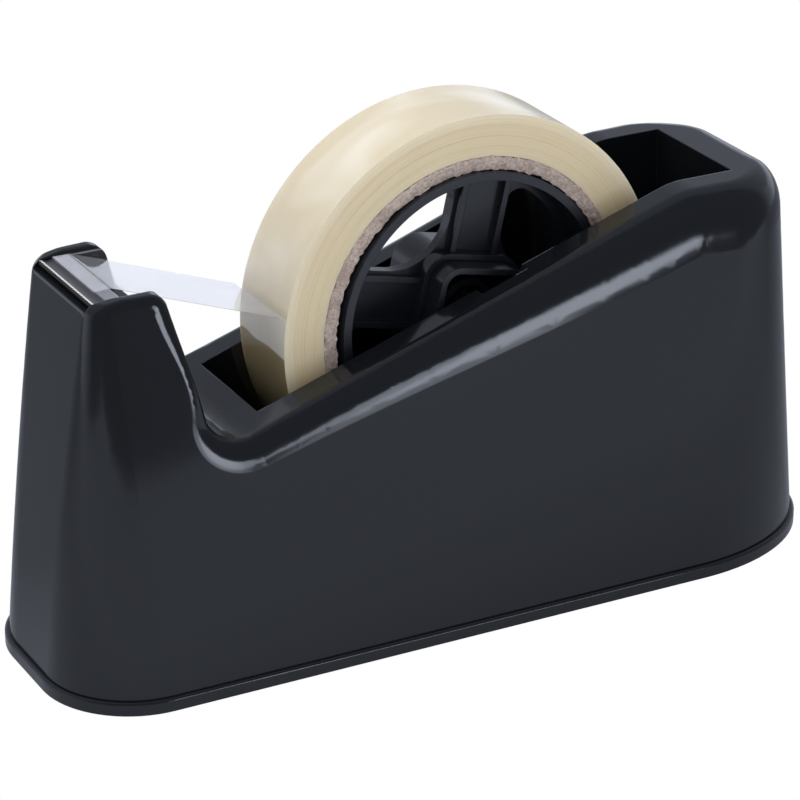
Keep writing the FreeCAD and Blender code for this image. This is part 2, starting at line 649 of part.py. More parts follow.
def core_wheel():
    rim = ring_y(WHEEL_RADIUS, WHEEL_RADIUS - WHEEL_RIM, WHEEL_NEAR_Y, WHEEL_FAR_Y, 0, 0)
    web = cylinder_y(WHEEL_RADIUS - WHEEL_RIM / 2, WEB_MIDDLE_Y - WEB_THICKNESS / 2,
                     WEB_MIDDLE_Y + WEB_THICKNESS / 2, 0, 0)
    sleeve_half = HUB_HALF + HUB_FIT + SLEEVE_WALL
    sleeve_corner = HUB_CORNER + HUB_FIT + SLEEVE_WALL
    opening = window(WEB_MIDDLE_Y - WEB_THICKNESS, WEB_MIDDLE_Y + WEB_THICKNESS)
    rib = Part.makeBox(WHEEL_RADIUS - WHEEL_RIM / 2 - sleeve_half + 0.5, RIB_DEPTH, RIB_THICKNESS,
                       V(sleeve_half - 0.5, WEB_MIDDLE_Y - RIB_DEPTH / 2, RIB_OFFSET - RIB_THICKNESS / 2))
    wheel = rim.fuse(web)
    for quarter in range(4):
        cut = opening.copy()
        cut.rotate(V(0, 0, 0), V(0, 1, 0), 90 * quarter)
        wheel = wheel.cut(cut)
    for quarter in range(4):
        for side in (0, 1):
            spoke_rib = rib.copy()
            if side:
                spoke_rib.translate(V(0, 0, -2 * RIB_OFFSET))
            spoke_rib.rotate(V(0, 0, 0), V(0, 1, 0), 90 * quarter)
            wheel = wheel.fuse(spoke_rib)
    wheel = wheel.fuse(rounded_square(sleeve_half, sleeve_corner, SLEEVE_NEAR_Y, SLEEVE_FAR_Y))
    seat = rounded_square(HUB_HALF + HUB_FIT, HUB_CORNER + HUB_FIT, HUB_NEAR_Y - 1, HUB_FAR_Y + 1)
    wheel = wheel.cut(seat)
    return place_on_axle(wheel.removeSplitter())


def tape_core():
    outer = CORE_INNER_RADIUS + CORE_WALL
    return ring_y(outer, CORE_INNER_RADIUS, -CORE_WIDTH / 2, CORE_WIDTH / 2, AXLE_X, ROLL_Z)


def tape_roll():
    inner = CORE_INNER_RADIUS + CORE_WALL + WINDING_GAP
    return ring_y(ROLL_RADIUS, inner, -TAPE_WIDTH / 2, TAPE_WIDTH / 2, AXLE_X, ROLL_Z)


def tape_strip():
    """Free tape: flat on the landing plate, then straight down to the front of the roll."""
    swing = ROLL_RADIUS + (AXLE_Z - ROLL_Z) + STRIP_ROLL_GAP
    angle = math.radians(STRIP_MEET_ANGLE)
    low = BLADE_TOP_Z + FACE_GAP
    start = V(BLADE_REAR_X - STRIP_ON_BLADE, 0, low)
    crest = V(BLADE_REAR_X, 0, low)
    meet = V(AXLE_X + swing * math.cos(angle), 0, AXLE_Z + swing * math.sin(angle))
    across = unit(V(-(meet - crest).z, 0, (meet - crest).x)) * STRIP_THICKNESS
    lift = V(0, 0, STRIP_THICKNESS)
    points = [start, crest, meet, meet + across, crest + lift, start + lift]
    band = side_extrusion(points, [0] * len(points), STRIP_WIDTH)
    # seen from above, the tape runs a little to one side on its way to the blade
    half, drift = STRIP_WIDTH / 2, STRIP_DRIFT
    end = meet.x + STRIP_THICKNESS
    corners = [V(start.x, drift - half, 0), V(crest.x, drift - half, 0), V(end, -half, 0),
               V(end, half, 0), V(crest.x, drift + half, 0), V(start.x, drift + half, 0)]
    outline = Part.Face(Part.makePolygon(corners + corners[:1]))
    return band.common(outline.extrude(V(0, 0, EAR_HEIGHT + REACH)))


os.makedirs("parts", exist_ok=True)
nodes = {
    "housing": housing(),
    "base_plate": base_plate(),
    "non_slip_pad": non_slip_pad(),
    "base_screws": base_screws(),
    "front_weight": weight(-LENGTH, WELL_FRONT_X, FRONT_WEIGHT_TOP),
    "rear_weight": weight(WELL_REAR_X - REAR_WEIGHT_LAP, LENGTH, REAR_WEIGHT_TOP),
    "cutter_blade": cutter_blade(),
    "axle": axle(),
    "spindle_hub": spindle_hub(),
    "core_wheel": core_wheel(),
    "tape_core": tape_core(),
    "tape_roll": tape_roll(),
    "tape_strip": tape_strip(),
}
for name, shape in nodes.items():
    shape.exportStep("parts/" + name + ".step")
    print(name, shape.isValid(), len(shape.Solids), round(shape.Volume, 1))
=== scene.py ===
import math

import bmesh
import bpy
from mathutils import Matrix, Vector


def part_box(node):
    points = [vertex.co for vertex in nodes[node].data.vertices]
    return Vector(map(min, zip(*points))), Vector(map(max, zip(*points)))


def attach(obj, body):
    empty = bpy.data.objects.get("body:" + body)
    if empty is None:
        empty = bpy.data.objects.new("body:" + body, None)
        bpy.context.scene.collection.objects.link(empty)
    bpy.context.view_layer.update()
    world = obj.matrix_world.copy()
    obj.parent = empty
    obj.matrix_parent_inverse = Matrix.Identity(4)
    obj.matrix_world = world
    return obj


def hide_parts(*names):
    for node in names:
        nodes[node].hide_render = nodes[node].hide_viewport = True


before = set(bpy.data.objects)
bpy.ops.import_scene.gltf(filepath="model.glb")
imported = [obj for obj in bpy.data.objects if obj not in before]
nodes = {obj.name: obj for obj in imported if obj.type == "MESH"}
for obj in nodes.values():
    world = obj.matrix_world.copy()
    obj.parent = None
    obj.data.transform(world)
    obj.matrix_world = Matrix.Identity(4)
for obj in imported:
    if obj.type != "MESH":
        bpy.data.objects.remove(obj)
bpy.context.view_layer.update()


# --- Bench top and view -------------------------------------------------------------------
# A pale table top carries the dispenser on its foam pad and ends a hand's width in front of
# the near side. The camera looks down on the blade end and the near side.
table_left_edge = -0.40
table_right_edge = 1.5
table_near_edge = -0.31
table_far_edge = 1.6

bpy.ops.object.select_all(action="DESELECT")
bpy.ops.mesh.primitive_plane_add(size=1.0, location=(0.0, 0.0, -0.0002))
table_top = bpy.context.object
table_top.name = "table_top"
table_top.scale = (table_right_edge - table_left_edge, table_far_edge - table_near_edge, 1.0)
table_top.location.x = (table_right_edge + table_left_edge) / 2
table_top.location.y = (table_far_edge + table_near_edge) / 2
bpy.ops.object.transform_apply(location=True, rotation=True, scale=True)


def feed(tree, value, socket):
    """Link a changing value into a socket, or set a plain one on it."""
    if isinstance(value, bpy.types.NodeSocket):
        tree.links.new(value, socket)
    else:
        socket.default_value = value


def fade(tree, value, start, end, at_start=0.0, at_end=1.0):
    """An amount that changes evenly as the value goes from start to end."""
    fading = tree.nodes.new("ShaderNodeMapRange")
    fading.inputs["From Min"].default_value = start
    fading.inputs["From Max"].default_value = end
    fading.inputs["To Min"].default_value = at_start
    fading.inputs["To Max"].default_value = at_end
    feed(tree, value, fading.inputs["Value"])
    return fading.outputs["Result"]


def reckon(tree, operation, *values):
    """A sum worked out afresh at each point of the surface."""
    sum_node = tree.nodes.new("ShaderNodeMath")
    sum_node.operation = operation
    for index, value in enumerate(values):
        feed(tree, value, sum_node.inputs[index])
    return sum_node.outputs[0]


cool_white = (0.86, 0.93, 1.08)
table_sheet = bpy.data.materials.new("table_sheet")
table_sheet.use_nodes = True
tree = table_sheet.node_tree
paper = tree.nodes["Principled BSDF"]
paper.inputs["Base Color"].default_value = (0.88, 0.88, 0.88, 1.0)
paper.inputs["Roughness"].default_value = 0.9
seen_white = tree.nodes.new("ShaderNodeEmission")
seen_white.inputs["Color"].default_value = (1.0, 1.0, 1.0, 1.0)
mirrored_white = tree.nodes.new("ShaderNodeEmission")
mirrored_white.inputs["Color"].default_value = (*cool_white, 1.0)
sheet_place = tree.nodes.new("ShaderNodeTexCoord")
sheet_parts = tree.nodes.new("ShaderNodeSeparateXYZ")
tree.links.new(sheet_place.outputs["Object"], sheet_parts.inputs["Vector"])
# the sheet mirrors bright near the blade end and darker towards the rear and far side
across = reckon(tree, "MULTIPLY_ADD", sheet_parts.outputs["X"], 0.3, sheet_parts.outputs["Y"])
lit_share = fade(tree, across, -0.11, 0.03, 0.72, 0.31)
tree.links.new(lit_share, mirrored_white.inputs["Strength"])
path = tree.nodes.new("ShaderNodeLightPath")
first_mix = tree.nodes.new("ShaderNodeMixShader")
second_mix = tree.nodes.new("ShaderNodeMixShader")
seen = reckon(tree, "MAXIMUM", path.outputs["Is Camera Ray"], path.outputs["Is Transmission Ray"])
tree.links.new(path.outputs["Is Glossy Ray"], first_mix.inputs["Fac"])
tree.links.new(paper.outputs["BSDF"], first_mix.inputs[1])
tree.links.new(mirrored_white.outputs["Emission"], first_mix.inputs[2])
tree.links.new(seen, second_mix.inputs["Fac"])
tree.links.new(first_mix.outputs["Shader"], second_mix.inputs[1])
tree.links.new(seen_white.outputs["Emission"], second_mix.inputs[2])
tree.links.new(second_mix.outputs["Shader"], tree.nodes["Material Output"].inputs["Surface"])
table_top.data.materials.append(table_sheet)

camera = bpy.data.objects.new("camera", bpy.data.cameras.new("camera"))
bpy.context.scene.collection.objects.link(camera)
camera.location = (-0.37155, -0.68020, 0.40020)
camera_direction = Vector((0.43159, 0.80274, -0.41151))
camera.rotation_euler = camera_direction.to_track_quat("-Z", "Y").to_euler()
camera.data.sensor_width = 36.0
camera.data.lens = 151.07
camera.data.clip_start = 0.01
camera.data.clip_end = 20.0
bpy.context.scene.camera = camera
bpy.context.scene.view_settings.view_transform = "Standard"


# --- Studio -------------------------------------------------------------------------------
# White walls stand round the table up to a low height and the room is dim above them. Two
# soft boxes stand low at the near side and draw the streak along the shoulder, and a large
# one overhead lights the scene without showing in the gloss.
studio = bpy.data.worlds.new("studio")
bpy.context.scene.world = studio
studio.use_nodes = True
sky = studio.node_tree
white_walls = sky.nodes["Background"]
white_walls.inputs["Color"].default_value = (1.0, 1.0, 1.0, 1.0)
white_walls.inputs["Strength"].default_value = 1.0
soft_fill = sky.nodes.new("ShaderNodeBackground")
soft_fill.inputs["Color"].default_value = (1.0, 1.0, 1.0, 1.0)
direction = sky.nodes.new("ShaderNodeTexCoord")
direction_parts = sky.nodes.new("ShaderNodeSeparateXYZ")
sky.links.new(direction.outputs["Generated"], direction_parts.inputs["Vector"])
front_window = fade(sky, direction_parts.outputs["X"], -1.0, 1.0, 0.95, 0.15)
sky.links.new(front_window, soft_fill.inputs["Strength"])
wall_top = fade(sky, direction_parts.outputs["Z"], 0.14, 0.26, 1.0, 0.43)
near_side = fade(sky, direction_parts.outputs["Y"], -0.25, 0.35, 0.20, 1.0)
room = reckon(sky, "MINIMUM", wall_top, near_side)
mirrored_room = sky.nodes.new("ShaderNodeBackground")
mirrored_room.inputs["Color"].default_value = (*cool_white, 1.0)
sky.links.new(room, mirrored_room.inputs["Strength"])
sky_path = sky.nodes.new("ShaderNodeLightPath")
sky_seen = reckon(sky, "MAXIMUM", sky_path.outputs["Is Camera Ray"],
                  sky_path.outputs["Is Transmission Ray"])
fill_mix = sky.nodes.new("ShaderNodeMixShader")
sky.links.new(sky_path.outputs["Is Glossy Ray"], fill_mix.inputs["Fac"])
sky.links.new(soft_fill.outputs["Background"], fill_mix.inputs[1])
sky.links.new(mirrored_room.outputs["Background"], fill_mix.inputs[2])
white_mix = sky.nodes.new("ShaderNodeMixShader")
sky.links.new(sky_seen, white_mix.inputs["Fac"])
sky.links.new(fill_mix.outputs["Shader"], white_mix.inputs[1])
sky.links.new(white_walls.outputs["Background"], white_mix.inputs[2])
sky.links.new(white_mix.outputs["Shader"], sky.nodes["World Output"].inputs["Surface"])


def soft_box(name, place, aim, width, height, roll, watts):
    """A lamp behind a white cloth, turned about its own aim by the roll, in degrees."""
    lamp = bpy.data.objects.new(name, bpy.data.lights.new(name, "AREA"))
    lamp.data.shape = "RECTANGLE"
    lamp.data.size = width
    lamp.data.size_y = height
    lamp.data.energy = watts
    lamp.location = place
    lamp.rotation_euler = (Vector(aim) - Vector(place)).to_track_quat("-Z", "Y").to_euler()
    lamp.rotation_euler.rotate_axis("Z", math.radians(roll))
    bpy.context.scene.collection.objects.link(lamp)
    return lamp


wide_box = soft_box("wide_box", place=(0.298, -0.80, 0.004), aim=(0.298, 0.0, 0.004),
                    width=0.19, height=0.24, roll=-20.0, watts=0.38)
wide_box.data.color = cool_white
bright_middle = soft_box("bright_middle", place=(0.278, -0.799, 0.030), aim=(0.278, 0.0, 0.030),
                         width=0.31, height=0.15, roll=-23.0, watts=0.62)
bright_middle.data.color = cool_white
top_box = soft_box("top_box", place=(0.1, 0.10, 1.5), aim=(0.0, 0.0, 0.05),
                   width=1.0, height=1.0, roll=0.0, watts=15.0)
top_box.visible_glossy = False


# --- Housing ------------------------------------------------------------------------------
# One polished black ABS moulding with drafted walls, a rounded shoulder, the well for the
# roll and the two ears that guard the blade. It drops over the base plate.
moulded_skin = bpy.data.node_groups.new("moulded_skin", "ShaderNodeTree")
moulded_skin.interface.new_socket("Vector", in_out="INPUT", socket_type="NodeSocketVector")
for name, value in (("Grain", 600.0), ("Roughness", 0.2), ("Spread", 0.03), ("Dust", 0.1)):
    socket = moulded_skin.interface.new_socket(name, in_out="INPUT", socket_type="NodeSocketFloat")
    socket.default_value = value
for name in ("Roughness", "Height", "Dust"):
    moulded_skin.interface.new_socket(name, in_out="OUTPUT", socket_type="NodeSocketFloat")
skin_in = moulded_skin.nodes.new("NodeGroupInput")
skin_out = moulded_skin.nodes.new("NodeGroupOutput")
grain = moulded_skin.nodes.new("ShaderNodeTexNoise")
grain.inputs["Detail"].default_value = 2.0
moulded_skin.links.new(skin_in.outputs["Vector"], grain.inputs["Vector"])
moulded_skin.links.new(skin_in.outputs["Grain"], grain.inputs["Scale"])
moulded_skin.links.new(grain.outputs["Fac"], skin_out.inputs["Height"])
smudges = moulded_skin.nodes.new("ShaderNodeTexNoise")
smudges.inputs["Scale"].default_value = 35.0
smudges.inputs["Detail"].default_value = 4.0
moulded_skin.links.new(skin_in.outputs["Vector"], smudges.inputs["Vector"])
centred = reckon(moulded_skin, "SUBTRACT", smudges.outputs["Fac"], 0.5)
uneven = reckon(moulded_skin, "MULTIPLY_ADD", centred, skin_in.outputs["Spread"],
                skin_in.outputs["Roughness"])
moulded_skin.links.new(uneven, skin_out.inputs["Roughness"])
specks = moulded_skin.nodes.new("ShaderNodeTexNoise")
specks.inputs["Scale"].default_value = 1500.0
specks.inputs["Detail"].default_value = 0.0
moulded_skin.links.new(skin_in.outputs["Vector"], specks.inputs["Vector"])
few_specks = fade(moulded_skin, specks.outputs["Fac"], 0.80, 0.86)
dusted = reckon(moulded_skin, "MULTIPLY", few_specks, skin_in.outputs["Dust"])
moulded_skin.links.new(dusted, skin_out.inputs["Dust"])


def blended(tree, share, first, second, how="MIX"):
    """One colour laid over another by a share from 0 to 1."""
    blend = tree.nodes.new("ShaderNodeMix")
    blend.data_type = "RGBA"
    blend.blend_type = how
    feed(tree, share, blend.inputs["Factor"])
    feed(tree, first, blend.inputs["A"])
    feed(tree, second, blend.inputs["B"])
    return blend.outputs["Result"]


def black_plastic(name, colour, roughness, spread, grain_per_metre, grain_depth, dust, edge):
    """Dyed moulded plastic: an uneven shine, a fine grain, dust and slightly rounded edges."""
    plastic = bpy.data.materials.new(name)
    plastic.use_nodes = True
    tree = plastic.node_tree
    surface = tree.nodes["Principled BSDF"]
    surface.inputs["IOR"].default_value = 1.48
    place = tree.nodes.new("ShaderNodeTexCoord")
    skin = tree.nodes.new("ShaderNodeGroup")
    skin.node_tree = moulded_skin
    skin.inputs["Grain"].default_value = grain_per_metre
    skin.inputs["Roughness"].default_value = roughness
    skin.inputs["Spread"].default_value = spread
    skin.inputs["Dust"].default_value = dust
    tree.links.new(place.outputs["Object"], skin.inputs["Vector"])
    tint = blended(tree, skin.outputs["Dust"], (*colour, 1.0), (0.30, 0.30, 0.31, 1.0))
    tree.links.new(tint, surface.inputs["Base Color"])
    tree.links.new(skin.outputs["Roughness"], surface.inputs["Roughness"])
    relief = tree.nodes.new("ShaderNodeBump")
    relief.inputs["Distance"].default_value = grain_depth
    tree.links.new(skin.outputs["Height"], relief.inputs["Height"])
    worn_edge = tree.nodes.new("ShaderNodeBevel")
    worn_edge.samples = 6
    worn_edge.inputs["Radius"].default_value = edge
    tree.links.new(worn_edge.outputs["Normal"], relief.inputs["Normal"])
    tree.links.new(relief.outputs["Normal"], surface.inputs["Normal"])
    return plastic


housing_abs = black_plastic("polished_black_abs", (0.0060, 0.0072, 0.0095), roughness=0.11,
                            spread=0.03, grain_per_metre=900.0, grain_depth=0.0000006,
                            dust=0.0, edge=0.0004)
nodes["housing"].material_slots[0].material = housing_abs


# --- Base plate, pad, screws and weights --------------------------------------------------
# The base is a moulded plate, screwed up into the housing from a recess that the foam pad
# then covers. Two rough iron castings rest on it inside and keep the dispenser down.
base_abs = black_plastic("satin_black_abs", (0.0065, 0.0078, 0.0100), roughness=0.15,
                         spread=0.04, grain_per_metre=1000.0, grain_depth=0.000001,
                         dust=0.0, edge=0.0002)
nodes["base_plate"].material_slots[0].material = base_abs
pad_foam = black_plastic("foam_rubber", (0.030, 0.030, 0.031), roughness=0.92, spread=0.05,
                         grain_per_metre=2600.0, grain_depth=0.00008, dust=0.5, edge=0.0003)
nodes["non_slip_pad"].material_slots[0].material = pad_foam
cast_iron = black_plastic("rough_cast_iron", (0.085, 0.080, 0.076), roughness=0.68,
                          spread=0.2, grain_per_metre=1100.0, grain_depth=0.0001,
                          dust=0.4, edge=0.0006)
for node in ("front_weight", "rear_weight"):
    nodes[node].material_slots[0].material = cast_iron

drawn_steel = bpy.data.node_groups.new("drawn_steel", "ShaderNodeTree")
drawn_steel.interface.new_socket("Vector", in_out="INPUT", socket_type="NodeSocketVector")
for name, value in (("Line Width", 0.0001), ("Roughness", 0.3)):
    socket = drawn_steel.interface.new_socket(name, in_out="INPUT", socket_type="NodeSocketFloat")
    socket.default_value = value
for name in ("Roughness", "Height", "Shade"):
    drawn_steel.interface.new_socket(name, in_out="OUTPUT", socket_type="NodeSocketFloat")
steel_in = drawn_steel.nodes.new("NodeGroupInput")
steel_out = drawn_steel.nodes.new("NodeGroupOutput")
closeness = reckon(drawn_steel, "DIVIDE", 1.0, steel_in.outputs["Line Width"])
lines = drawn_steel.nodes.new("ShaderNodeTexNoise")
lines.inputs["Detail"].default_value = 3.0
drawn_steel.links.new(steel_in.outputs["Vector"], lines.inputs["Vector"])
drawn_steel.links.new(closeness, lines.inputs["Scale"])
drawn_steel.links.new(lines.outputs["Fac"], steel_out.inputs["Height"])
drawn_steel.links.new(lines.outputs["Fac"], steel_out.inputs["Shade"])
shine = reckon(drawn_steel, "MULTIPLY_ADD", lines.outputs["Fac"], 0.16,
               steel_in.outputs["Roughness"])
drawn_steel.links.new(shine, steel_out.inputs["Roughness"])


def steel(name, dark, pale, roughness, line_width, along):
    """Bright steel with fine lines that run along one direction."""
    metal = bpy.data.materials.new(name)
    metal.use_nodes = True
    tree = metal.node_tree
    surface = tree.nodes["Principled BSDF"]
    surface.inputs["Metallic"].default_value = 1.0
    place = tree.nodes.new("ShaderNodeTexCoord")
    stretch = tree.nodes.new("ShaderNodeMapping")
    stretch.inputs["Scale"].default_value = along
    tree.links.new(place.outputs["Object"], stretch.inputs["Vector"])
    drawn = tree.nodes.new("ShaderNodeGroup")
    drawn.node_tree = drawn_steel
    drawn.inputs["Line Width"].default_value = line_width
    drawn.inputs["Roughness"].default_value = roughness
    tree.links.new(stretch.outputs["Vector"], drawn.inputs["Vector"])
    tint = tree.nodes.new("ShaderNodeMix")
    tint.data_type = "RGBA"
    tint.inputs["A"].default_value = (*dark, 1.0)
    tint.inputs["B"].default_value = (*pale, 1.0)
    tree.links.new(drawn.outputs["Shade"], tint.inputs["Factor"])
    tree.links.new(tint.outputs["Result"], surface.inputs["Base Color"])
    tree.links.new(drawn.outputs["Roughness"], surface.inputs["Roughness"])
    relief = tree.nodes.new("ShaderNodeBump")
    relief.inputs["Distance"].default_value = 0.000004
    tree.links.new(drawn.outputs["Height"], relief.inputs["Height"])
    tree.links.new(relief.outputs["Normal"], surface.inputs["Normal"])
    return metal


screw_steel = steel("zinc_plated_steel", dark=(0.42, 0.42, 0.44), pale=(0.62, 0.62, 0.64),
                    roughness=0.30, line_width=0.0002, along=(1.0, 1.0, 8.0))
nodes["base_screws"].material_slots[0].material = screw_steel


# --- Cutter blade -------------------------------------------------------------------------
# A strip of rolled steel folded between the ears: a flange in the finger slot, a landing
# plate for the tape, a trough with painted shade and a row of teeth with a painted glint.
blade_low, blade_high = (Vector(corner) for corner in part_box("cutter_blade"))
blade_width = blade_high.y - blade_low.y
blade_sheet = 0.0003
flange_reach = 0.0005
plate_depth = 0.0033
plate_rear = blade_high.x - flange_reach
plate_front = plate_rear - plate_depth
plate_z = blade_high.z - 0.00002
tooth_count = 28
tooth_depth = 0.0007
tooth_slope = 0.33
tooth_face = 0.0011
bpy.ops.object.select_all(action="DESELECT")
bpy.ops.mesh.primitive_plane_add(size=1.0, location=(0.0, 0.0, 0.0))
toothed_blade = bpy.context.object
toothed_blade.name = "toothed_blade"
toothed_blade.scale = (plate_rear - plate_front, blade_width, 1.0)
toothed_blade.location = ((plate_rear + plate_front) / 2, 0.0, plate_z)
bpy.ops.object.transform_apply(location=True, rotation=True, scale=True)
bpy.ops.object.mode_set(mode="EDIT")
bpy.ops.mesh.select_mode(type="EDGE")
# each fold is one step outwards and up or down: the flange at the rear, then the trough
blade_folds = {
    1.0: ((0.00035, -0.00015), (0.00015, -0.00035), (0.0, -0.0043)),
    -1.0: ((-0.0003, -0.0001), (-0.0004, -0.0002), (-0.0006, -0.00017), (-0.0007, -0.00005),
           (-0.0006, 0.00003), (-0.0003, 0.0), (-0.0005, 0.00016), (-0.0007, 0.00023))}
for side, folds in blade_folds.items():
    bpy.ops.mesh.select_all(action="DESELECT")
    strip = bmesh.from_edit_mesh(toothed_blade.data)
    edge_x = max(vert.co.x * side for vert in strip.verts) - 1e-6
    for edge in strip.edges:
        edge.select = all(vert.co.x * side > edge_x for vert in edge.verts)
    strip.select_flush_mode()
    bmesh.update_edit_mesh(toothed_blade.data)
    for step_x, step_z in folds:
        bpy.ops.mesh.extrude_region_move(TRANSFORM_OT_translate={"value": (step_x, 0.0, step_z)})
# the front edge is still selected: it is divided, and every second point is cut back
bpy.ops.mesh.subdivide(number_cuts=2 * tooth_count - 1)
strip = bmesh.from_edit_mesh(toothed_blade.data)
tip_x = min(vert.co.x for vert in strip.verts)
edge_verts = sorted((vert for vert in strip.verts if vert.co.x < tip_x + 1e-6),
                    key=lambda vert: vert.co.y)
for root in edge_verts[::2]:
    root.co.x += tooth_depth
    root.co.z -= tooth_depth * tooth_slope
strip.select_flush_mode()
bmesh.update_edit_mesh(toothed_blade.data)
bpy.ops.mesh.extrude_region_move(TRANSFORM_OT_translate={"value": (0.0, 0.0, -tooth_face)})
bpy.ops.mesh.select_all(action="SELECT")
bpy.ops.mesh.normals_make_consistent(inside=False)
bpy.ops.object.mode_set(mode="OBJECT")
# an open strip has no inside of its own, so the landing plate says which way is up
landing_plate = toothed_blade.data.polygons[0]
if landing_plate.normal.z < 0:
    toothed_blade.data.flip_normals()
blade_body = toothed_blade.modifiers.new("sheet", "SOLIDIFY")
blade_body.thickness = blade_sheet
blade_body.offset = -1.0
bpy.ops.object.modifier_apply(modifier=blade_body.name)
bpy.ops.object.shade_smooth_by_angle(angle=math.radians(18))


def shades(tree, value, *stops):
    """Colours spread along a value, each at its own stop."""
    ramp = tree.nodes.new("ShaderNodeValToRGB")
    elements = ramp.color_ramp.elements
    elements[0].position, elements[0].color = stops[0]
    elements[1].position, elements[1].color = stops[-1]
    for position, colour in stops[1:-1]:
        elements.new(position).color = colour
    feed(tree, value, ramp.inputs["Fac"])
    return ramp.outputs["Color"]


blade_steel = steel("rolled_blade_steel", dark=(0.50, 0.50, 0.50), pale=(0.72, 0.71, 0.71),
                    roughness=0.26, line_width=0.00012, along=(6.0, 0.6, 6.0))
tree = blade_steel.node_tree
blade_place = tree.nodes.new("ShaderNodeTexCoord")
blade_parts = tree.nodes.new("ShaderNodeSeparateXYZ")
tree.links.new(blade_place.outputs["Object"], blade_parts.inputs["Vector"])
# painted light along the blade: a painted glint on the teeth, painted shade in the trough, a plain
# plate
from_teeth = fade(tree, blade_parts.outputs["X"], blade_low.x, plate_front)
teeth_end = 0.24
trough_start = 0.32
blade_glint_and_shade = shades(tree, from_teeth, (teeth_end, (1.45, 1.44, 1.45, 1.0)),
                      (trough_start, (0.42, 0.4116, 0.42, 1.0)), (0.60, (0.30, 0.294, 0.30, 1.0)),
                      (0.90, (0.20, 0.196, 0.20, 1.0)), (0.98, (1.0, 1.0, 1.0, 1.0)))
blade_base = tree.nodes["Principled BSDF"].inputs["Base Color"]
blade_glint_and_shade_tint = blended(tree, 1.0, blade_base.links[0].from_socket, blade_glint_and_shade, "MULTIPLY")
# painted shade: the upright walls of the teeth are painted dark brown
tooth_facing = tree.nodes.new("ShaderNodeNewGeometry")
facing_parts = tree.nodes.new("ShaderNodeSeparateXYZ")
tree.links.new(tooth_facing.outputs["True Normal"], facing_parts.inputs["Vector"])
tooth_wall = reckon(tree, "LESS_THAN", facing_parts.outputs["Z"], 0.4)
behind_teeth = blade_low.x + tooth_depth + 0.0002
near_tips = fade(tree, blade_parts.outputs["X"], behind_teeth, behind_teeth + 0.0002, 1.0, 0.0)
tooth_shadow = reckon(tree, "MULTIPLY", tooth_wall, near_tips)
tooth_wall_shade_tint = blended(tree, tooth_shadow, blade_glint_and_shade_tint, (0.050, 0.038, 0.034, 1.0))
tree.links.new(tooth_wall_shade_tint, blade_base)
# the ground teeth, painted bright as a glint, scatter the light and the rest mirrors it
mirroring = fade(tree, from_teeth, teeth_end, trough_start)
tree.links.new(mirroring, tree.nodes["Principled BSDF"].inputs["Metallic"])
toothed_blade.data.materials.append(blade_steel)
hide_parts("cutter_blade")
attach(toothed_blade, "base")


# --- Axle, hub and core wheel -------------------------------------------------------------
# A steel bar carries a moulded hub, and the spoked wheel is pressed on its square. Both are
# satin black and lift out of the housing's open slots with the roll.
axle_steel = steel("drawn_axle_steel", dark=(0.40, 0.40, 0.41), pale=(0.60, 0.60, 0.61),
                   roughness=0.26, line_width=0.00015, along=(1.0, 0.1, 1.0))
nodes["axle"].material_slots[0].material = axle_steel
hub_abs = black_plastic("satin_black_hub", (0.0110, 0.0125, 0.0170), roughness=0.28,
                        spread=0.06, grain_per_metre=1200.0, grain_depth=0.000004,
                        dust=0.02, edge=0.00025)
nodes["spindle_hub"].material_slots[0].material = hub_abs
wheel_abs = black_plastic("satin_black_wheel", (0.0120, 0.0140, 0.0190), roughness=0.28,
                          spread=0.06, grain_per_metre=1200.0, grain_depth=0.000004,
                          dust=0.02, edge=0.00025)
nodes["core_wheel"].material_slots[0].material = wheel_abs


# --- Cardboard core -----------------------------------------------------------------------
# The tape is wound on a tube of grey-pink board, cut across with a saw, so its ends are
# fibrous and the inner edge is ragged. It hangs on the wheel with a little play.
core_low, core_high = (Vector(corner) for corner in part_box("tape_core"))
roll_centre = Vector((core_low.x + core_high.x, 0.0, core_low.z + core_high.z)) / 2


def spun_ring(name, inner, outer, half_width, cuts, steps):
    """Ring about the roll's middle, spun from its flat cross-section."""
    bpy.ops.object.select_all(action="DESELECT")
    bpy.ops.mesh.primitive_plane_add(size=1.0, location=(0.0, 0.0, 0.0))
    ring = bpy.context.object
    ring.name = name
    ring.scale = (outer - inner, 2 * half_width, 1.0)
    ring.location = roll_centre + Vector(((inner + outer) / 2, 0.0, 0.0))
    bpy.ops.object.transform_apply(location=True, rotation=True, scale=True)
    bpy.ops.object.mode_set(mode="EDIT")
    bpy.ops.mesh.select_all(action="SELECT")
    bpy.ops.mesh.subdivide(number_cuts=cuts)
    bpy.ops.mesh.delete(type="ONLY_FACE")
    bpy.ops.object.mode_set(mode="OBJECT")
    bpy.ops.object.mode_set(mode="EDIT")
    section = bmesh.from_edit_mesh(ring.data)
    low_x = roll_centre.x + inner + 1e-6
    high_x = roll_centre.x + outer - 1e-6
    for edge in section.edges:
        middle = (edge.verts[0].co + edge.verts[1].co) / 2
        edge.select = low_x < middle.x < high_x and abs(middle.y) < half_width - 1e-6
    bmesh.update_edit_mesh(ring.data)
    bpy.ops.mesh.delete(type="EDGE")
    bpy.ops.mesh.select_all(action="SELECT")
    bpy.ops.mesh.spin(steps=steps, angle=2 * math.pi, center=roll_centre, axis=(0.0, 1.0, 0.0))
    bpy.ops.mesh.select_all(action="SELECT")
    bpy.ops.mesh.remove_doubles(threshold=1e-7)
    bpy.ops.mesh.normals_make_consistent(inside=False)
    bpy.ops.object.mode_set(mode="OBJECT")
    return ring


